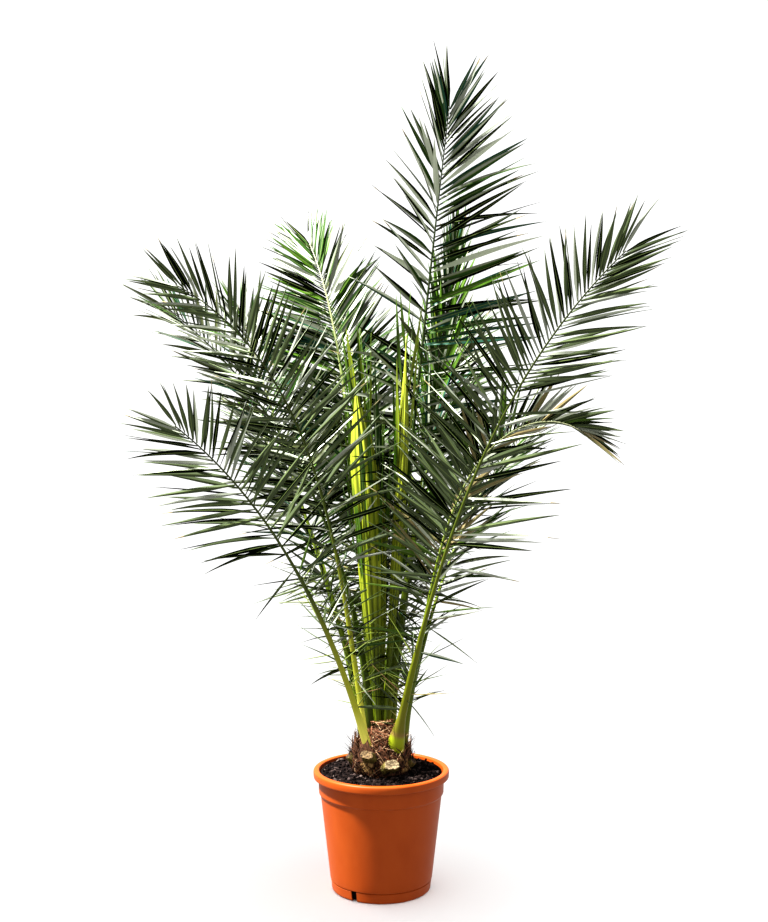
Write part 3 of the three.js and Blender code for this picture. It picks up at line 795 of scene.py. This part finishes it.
def hairs(seed):
    """Stiff dark hairs that stand up off the trunk's shoulder, thickest at both sides."""
    rng = np.random.default_rng(seed)
    turns = rng.normal(214, 16, 200), rng.normal(-14, 22, 140), rng.uniform(0, 360, 80)
    angle = np.radians(np.concatenate(turns))
    count = len(angle)
    root = on_trunk(angle, rng.uniform(0.03, 0.08, count), -0.002)
    heading = polar(1, angle, 0) * rng.uniform(-0.1, 0.35, count)[:, None] + UPWARDS
    heading = unit(heading + rng.normal(0, 0.28, (count, 3)))
    bend = np.cross(heading, rng.normal(0, 1, (count, 3))) * 0.25
    centre = bowed(root, heading, bend, rng.uniform(0.016, 0.046, count), 6)
    one, two = square_to(heading)
    thick = rng.uniform(0.0003, 0.0009, count)[:, None] * (1 - 0.8 * np.linspace(0, 1, 6) ** 2)
    return tubes(centre, one[:, None], two[:, None], 3, thick), rng.choice(4, count, p=HAIR_SHARES)


for name, (rings, tones) in (("trunk_fibres", strands(7)), ("trunk_hairs", hairs(8))):
    stand_for(toned(name, rings, STRAND_LOOKS, tones), "trunk")

SHEATH_LOOKS = [
    grained("sheath_brown", (0.012, 0.006, 0.004), (0.09, 0.04, 0.02), 0.75, 0.003, 0.6, 0.0015, (1, 1, 0.3)),
    grained("sheath_straw", (0.08, 0.045, 0.016), (0.26, 0.165, 0.065), 0.7, 0.003, 0.5, 0.001, (1, 1, 0.3)),
]
# Broken sheaths that stand up off the trunk: angle, height of the foot, length and half width in radians.
OLD_SHEATHS = (
    (np.radians(203), 0.022, 0.074, 0.3),
    (np.radians(237), 0.028, 0.07, 0.5),
    (np.radians(-12), 0.018, 0.07, 0.24),
    (np.radians(-36), 0.016, 0.048, 0.24),
    (np.radians(176), 0.014, 0.06, 0.34),
)
SHEATH_COUNT, SHEATH_SECTIONS, SHEATH_ACROSS = 22, 12, 9
LEAF_TURN = 137.5  # degrees from each leaf round to the next


def old_sheaths(seed):
    """Old leaf sheaths: pointed plates that clasp the trunk, spring off it towards the top and end ragged."""
    rng = np.random.default_rng(seed)
    count = SHEATH_COUNT
    turn = np.arange(count) * np.radians(LEAF_TURN) + rng.normal(0, 0.2, count)
    foot = np.sort(rng.uniform(-0.002, 0.056, count))
    tall = rng.uniform(0.034, 0.062, count)
    wide = rng.uniform(0.34, 0.62, count)
    upright = rng.uniform(0, 0.3, count)
    old = np.arange(0, count, 4)[: len(OLD_SHEATHS)]
    turn[old], foot[old], tall[old], wide[old] = np.array(OLD_SHEATHS).T
    upright[old] = 0.9
    turn, foot, tall, wide, upright = (fact[:, None, None] for fact in (turn, foot, tall, wide, upright))
    v = np.linspace(0, 1, SHEATH_SECTIONS)[None, :, None]
    u = np.linspace(-1, 1, SHEATH_ACROSS)[None, None]
    narrow = (1 - 0.78 * ease(v, 0.25, 1)) * wide
    ragged = 0.1 * rng.normal(0, 1, (count, 1, SHEATH_ACROSS)) * v**3
    height = foot + tall * (v * (1 - 0.18 * u**2) + ragged)
    lift = 0.0015 + rng.uniform(0.001, 0.006, count)[:, None, None] * v**2 + 0.0015 * (1 - u**2)
    stood = trunk_radius(np.clip(foot, 0.036, TRUNK_TOP))
    radius = mix(trunk_radius(np.clip(height, 0, TRUNK_TOP)), stood, upright) + lift
    thick = 0.0011 * (1 - 0.5 * v)
    outer, inner = (polar(radius + off, turn + u * narrow, CROWN_Z + height) for off in (thick, -thick))
    return np.concatenate([outer, inner[:, :, ::-1]], 2), rng.choice(2, count, p=[0.8, 0.2])


rings, tones = old_sheaths(11)
stand_for(toned("trunk_sheaths", rings, SHEATH_LOOKS, tones, sharp=(0, 8, 9, 17)), "trunk")

STUB_LOOKS = [
    grained("stub_skin", (0.03, 0.022, 0.006), (0.13, 0.105, 0.028), 0.7, 0.006, 0.4, 0.001),
    grained("stub_cut", (0.045, 0.03, 0.016), (0.29, 0.225, 0.13), 0.8, 0.0028, 0.8, 0.0015),
    grained("stub_tan", (0.016, 0.009, 0.005), (0.15, 0.1, 0.048), 0.85, 0.004, 1, 0.002),
    grained("stub_old", (0.012, 0.007, 0.004), (0.07, 0.045, 0.025), 0.9, 0.003, 0.9, 0.0015),
]
# stub_front_left's cut face takes the darker tan look: partly its own colour and partly painted shade, as the
# face turns to the lamp.
STUB_CUTS = {"stub_front": 1, "stub_front_left": 2}  # the look of a cut face, where it isn't the old one
STUB_CORNERS = 56
# A stub's sections, as shares of its length and of its width. Those from CUT_FROM on are the cut face.
STUB_PLACES = np.array([0, 0.2, 0.4, 0.6, 0.75, 0.88, 0.96, 0.99, 1.0, 0.992, 0.975, 0.965])
STUB_INSETS = np.array([1, 1, 1, 1, 1, 1, 1, 0.97, 0.9, 0.74, 0.45, 0.12])
CUT_FROM = 7


def squared(wave):
    """A sine or cosine made fuller, so that the oval it draws is a little squared."""
    return np.sign(wave) * np.abs(wave) ** 0.8


def stub_rings(stub):
    """A cut leaf stalk: an oval that narrows a little to a sawn end with a worn edge and a hollowed face."""
    lean = dict(azimuth=stub["root"], rise=stub["rise"], bow=0, drift=0, late=1, roll=0)
    along, up, side = (v[:, None] for v in frame_at(lean, STUB_PLACES * 0))
    start = polar(STUB_RADIUS, np.radians(stub["root"]), CROWN_Z + stub["height"])
    angle = round_angles(STUB_CORNERS)
    half = (stub["width"] * mix(1.15, 0.86, STUB_PLACES) * STUB_INSETS)[:, None] / 2
    middle = start + along * (stub["length"] * STUB_PLACES)[:, None, None]
    rings = middle - side * (half * squared(np.cos(angle)))[..., None]
    rings = rings + up * (half * squared(np.sin(angle)) * STUB_FLATNESS)[..., None]
    rough = (lumps(rings, 0.008, 21) * 0.0026 + lumps(rings, 0.0026, 22) * 0.0026)[..., None]
    rings = rings + rough * unit(rings - middle + 1e-9)
    faces = len(STUB_PLACES) - 1
    slots = np.where(np.arange(faces) >= CUT_FROM, STUB_CUTS.get(stub["name"], 3), 0)
    return rings[None], np.broadcast_to(slots[:, None], (1, faces, STUB_CORNERS))


for stub in STUBS:
    rings, slots = stub_rings(stub)
    piece = loft(stub["name"] + "_cut", rings, STUB_LOOKS, slots, slots[:, [0, -1], 0].T)
    stand_for(piece, "stub", stub["name"])

# ---- soil
SOIL_EDGE, SOIL_RADIUS = 0.2745, 0.143
MOUND = 0.37  # the share of the way in from the wall over which the soil rises to its level at the trunk
SOIL_SIDES, SOIL_ROUNDS = 200, 90
SOIL_LUMPS = ((0.0022, 0.016, 31), (0.002, 0.006, 32), (0.0012, 0.003, 33))  # height, size and seed


def soil_level(radius):
    """Height of the soil before it is roughened, at a distance from the axis."""
    return SOIL_EDGE + (CROWN_Z - SOIL_EDGE) * ease(1 - radius / SOIL_RADIUS, 0, MOUND)


def soil_profile():
    """The fill's outline: up the inside of the wall, then over the low mound to the middle."""
    rounds = np.linspace(SOIL_RADIUS, 0.001, SOIL_ROUNDS)
    wall = [(0.001, 0.004), (0.112, 0.004), (0.1385, 0.221), (0.142, 0.262)]
    return np.vstack([wall, np.stack([rounds, soil_level(rounds)], 1)])


def crumbled(rings):
    """The top surface heaved by its lumps, least at the wall."""
    top = ease(rings[..., 2], SOIL_EDGE - 0.006, SOIL_EDGE - 0.0005)
    top = top * ease(-np.hypot(rings[..., 0], rings[..., 1]), -SOIL_RADIUS, -0.134)
    heave = sum(height * lumps(rings, size, seed) for height, size, seed in SOIL_LUMPS)
    return rings + UPWARDS * (heave * top)[..., None]


SOIL_LOOK = grained("soil_dark", (0.001, 0.0007, 0.0007), (0.0085, 0.0055, 0.005), 0.95, 0.004, 1, 0.003,
                    gloss=0.03)
stand_for(loft("soil_fill", turned(soil_profile(), SOIL_SIDES, crumbled), [SOIL_LOOK]), "soil", "soil")

CHIP_LOOKS = [
    plain("chip_black", (0.003, 0.002, 0.002), 0.9, 0.03),
    plain("chip_brown", (0.011, 0.007, 0.006), 0.9, 0.03),
    plain("chip_grey", (0.036, 0.025, 0.022), 0.9, 0.03),
    plain("chip_pale", (0.07, 0.052, 0.044), 0.9, 0.03),
]
CHIP_COUNT, CHIP_CORNERS = 1500, 5
# Sections of a chip: their half widths and places along it, in units of its size.
CHIP_GIRTHS, CHIP_PLACES = np.array([0.25, 1.0, 0.8, 0.2]), np.array([-1.5, -0.5, 0.6, 1.4])


def chips(seed):
    """Bark and peat crumbs strewn over the soil: small uneven lozenges at any angle."""
    rng = np.random.default_rng(seed)
    count = CHIP_COUNT
    radius = np.sqrt(rng.uniform(0.064**2, 0.138**2, count))
    turn = rng.uniform(0, TAU, count)
    middle = polar(radius, turn, soil_level(radius) + rng.uniform(0, 0.0025, count))
    axis = unit(rng.normal(0, 1, (count, 3)) * (1, 1, 0.5))
    one = unit(np.cross(axis, rng.normal(0, 1, (count, 3))))
    two = np.cross(axis, one) * 0.6
    size = np.minimum(rng.gamma(2.2, 0.0009, count) + 0.0006, 0.006)[:, None, None, None]
    angle = round_angles(CHIP_CORNERS)[:, None]
    uneven = rng.uniform(0.6, 1.3, (count, len(CHIP_PLACES), CHIP_CORNERS, 1))
    circle = (one[:, None] * np.cos(angle) + two[:, None] * np.sin(angle))[:, None]
    lozenge = axis[:, None, None] * CHIP_PLACES[:, None, None] + circle * CHIP_GIRTHS[:, None, None] * uneven
    return middle[:, None, None] + size * lozenge, rng.choice(4, count, p=[0.46, 0.4, 0.12, 0.02])


rings, tones = chips(41)
stand_for(toned("soil_chips", rings, CHIP_LOOKS, tones), "soil")


# ---- pot
POT_TOP, RIM_UNDER, SHOULDER_Z, GROOVE_Z = 0.282, 0.263, 0.224, 0.024
FOOT_RADIUS, SHOULDER_RADIUS = 0.117, 0.143
WALL = 0.0034
POT_SIDES = 180
SLOT_COUNT, FIRST_SLOT = 3, -122  # the first one's angle, in degrees
SLOT_WIDTH, SLOT_HEIGHT, SLOT_DEPTH = 0.014, 0.024, 0.03
SHARP_FROM = 38  # the pot's edges are sharp where its faces meet at more than this, in degrees


def arc(middle_r, middle_z, radius, start, end, steps):
    """Points on an arc of a profile, angles in degrees from outwards towards up."""
    angle = np.radians(np.linspace(start, end, steps))
    return np.stack([middle_r + radius * np.cos(angle), middle_z + radius * np.sin(angle)], 1)


def wall_radius(z):
    """Radius of the pot's outer wall below the shoulder."""
    return mix(FOOT_RADIUS, SHOULDER_RADIUS, z / SHOULDER_Z)


def pot_profile():
    """From the middle of the underside up the wall, over shoulder and rim, and down the inside to the floor."""
    outer = np.linspace(GROOVE_Z + 0.005, SHOULDER_Z - 0.005, 14)
    inner = np.linspace(SHOULDER_Z - 0.008, 0.008, 12)
    groove = np.array([(0.0009, -0.0018), (0.0026, -0.0006), (0.0026, 0.0006), (0.0, 0.0018)])
    return np.vstack(
        [
            [(0.0005, 0), (0.06, 0), (0.108, 0)],
            arc(wall_radius(0.004) - 0.005, 0.004, 0.004, -90, 0, 6),
            [(wall_radius(0.015) - 0.001, 0.015)],
            np.stack([wall_radius(GROOVE_Z) - groove[:, 0], GROOVE_Z + groove[:, 1]], 1),
            np.stack([wall_radius(outer), outer], 1),
            arc(SHOULDER_RADIUS + 0.0016, SHOULDER_Z - 0.0015, 0.0018, 180, 128, 4),
            arc(0.1449, SHOULDER_Z + 0.005, 0.0021, -52, 0, 4),
            [(0.1473, SHOULDER_Z + 0.01), (0.1479, RIM_UNDER - 0.004)],
            arc(0.15, RIM_UNDER - 0.0021, 0.0021, 180, 90, 4),
            arc(0.156, RIM_UNDER + 0.0036, 0.0036, -90, 0, 6)[1:],
            [(0.16, RIM_UNDER + 0.01)],
            arc(0.1552, POT_TOP - 0.0047, 0.0047, 10, 90, 8),
            arc(0.1495, POT_TOP - 0.0034, 0.0034, 90, 180, 7),
            [(0.1458, POT_TOP - 0.009), (0.144, SHOULDER_Z + 0.008), (0.14, SHOULDER_Z - 0.0015)],
            np.stack([wall_radius(inner) - WALL, inner], 1),
            arc(0.1095, 0.0072, 0.004, 0, -90, 5),
            [(0.06, 0.0032), (0.0005, 0.0032)],
        ]
    )


def cut_slots(piece, look):
    """Drain slots cut up from the foot through the wall."""
    corners = SQUARE / 2
    bodies = []
    for number in range(SLOT_COUNT):
        outward = polar(1, np.radians(FIRST_SLOT + 360 / SLOT_COUNT * number), 0)
        sideways = np.cross(UPWARDS, outward)
        ring = outward * (FOOT_RADIUS + SLOT_DEPTH * corners[:, :1]) + sideways * SLOT_WIDTH * corners[:, 1:]
        bodies.append(np.stack([ring + (0, 0, -0.01), ring + (0, 0, SLOT_HEIGHT)]))
    tool = loft("slot_tool", np.array(bodies), [look])
    cut = piece.modifiers.new("slots", "BOOLEAN")
    cut.operation, cut.solver, cut.object = "DIFFERENCE", "EXACT", tool
    graph = bpy.context.evaluated_depsgraph_get()
    mesh = bpy.data.meshes.new_from_object(piece.evaluated_get(graph))
    piece.modifiers.clear()
    piece.data = mesh
    mesh.set_sharp_from_angle(angle=np.radians(SHARP_FROM))
    bpy.data.objects.remove(tool)


POT_LOOK = grained("pot_plastic", (0.24, 0.04, 0.003), (0.268, 0.049, 0.005), 0.45, 0.05, 0.08, 0.0008,
                   (1, 1, 0.5), contrast=(0.3, 0.7), spread=0.04, gloss=0.12)
pot = loft("pot_moulding", turned(pot_profile(), POT_SIDES), [POT_LOOK])
cut_slots(pot, POT_LOOK)
stand_for(pot, "pot", "pot")

# ---- floor, light and camera
FLOOR_HALF, FLOOR_Z = 14, -0.0006

floor_mesh = bpy.data.meshes.new("floor")
floor_corners = [(x * FLOOR_HALF, y * FLOOR_HALF, FLOOR_Z) for x, y in SQUARE.tolist()]
floor_mesh.from_pydata(floor_corners, [], [(0, 1, 2, 3)])
floor_mesh.materials.append(plain("floor_white", (0.98, 0.98, 0.98), 0.9, 0))
floor = put("floor", floor_mesh)

world = bpy.data.worlds.new("studio")
world.use_nodes = True
fill(world.node_tree, world.node_tree.nodes["Background"], {"Color": (1, 1, 1, 1), "Strength": 1.05})
scene.world = world


KEY_PLACE, KEY_AIM, KEY_SIZE = (-3.14, -0.58, 6.57), (0, 0, 1), 0.6


def key_lamp(name, watts):
    """A round soft lamp at the key's place, turned to look at its aim."""
    lamp = bpy.data.lights.new(name, "AREA")
    lamp.shape, lamp.size, lamp.energy = "DISK", KEY_SIZE, watts
    holder = put(name, lamp)
    holder.location = KEY_PLACE
    holder.rotation_euler = (Vector(KEY_AIM) - Vector(KEY_PLACE)).to_track_quat("-Z", "Y").to_euler()
    return holder


def pieces_of(name, beginnings):
    """A collection of the pieces whose names begin so."""
    chosen = bpy.data.collections.new(name)
    for piece in scene.collection.objects:
        if piece.type == "MESH" and piece.name.startswith(beginnings):
            chosen.objects.link(piece)
    return chosen


# One key lamp in three parts at one place: the first lights the leaves, the second the stalks and the third
# trunk and pot. Leaves don't shade the other two, nor stalks the third.
STALK_PIECES = ("rib", "stalk", "spear", "leaflets_young", "soil")
POT_PIECES = ("pot", "trunk", "stub")
CROWN_WATTS, STALK_WATTS, POT_WATTS = 3900, 3900, 3700
crown_key = key_lamp("crown_key", CROWN_WATTS)
past_crown_key = pieces_of("past_crown_key", ("floor", *STALK_PIECES, *POT_PIECES))
crown_key.light_linking.receiver_collection = past_crown_key
for member in past_crown_key.collection_objects:
    member.light_linking.link_state = "EXCLUDE"
for name, watts, lit, shading in (
    ("stalk_key", STALK_WATTS, STALK_PIECES, (*STALK_PIECES, *POT_PIECES)),
    ("pot_key", POT_WATTS, POT_PIECES, POT_PIECES),
):
    lamp = key_lamp(name, watts)
    lamp.light_linking.receiver_collection = pieces_of(name + "_lit", lit)
    lamp.light_linking.blocker_collection = pieces_of(name + "_shading", shading)

scene.view_settings.view_transform = "Standard"
scene.view_settings.look = "Medium High Contrast"

CAMERA_PLACE, CAMERA_PITCH, CAMERA_LENS = (0.0065, -3, 1.106), 88.12, 50.02  # degrees, mm
camera_data = bpy.data.cameras.new("camera")
camera_data.sensor_width, camera_data.lens = 36, CAMERA_LENS
camera = put("camera", camera_data)
camera.location = CAMERA_PLACE
camera.rotation_euler = (np.radians(CAMERA_PITCH), 0, 0)
scene.camera = camera
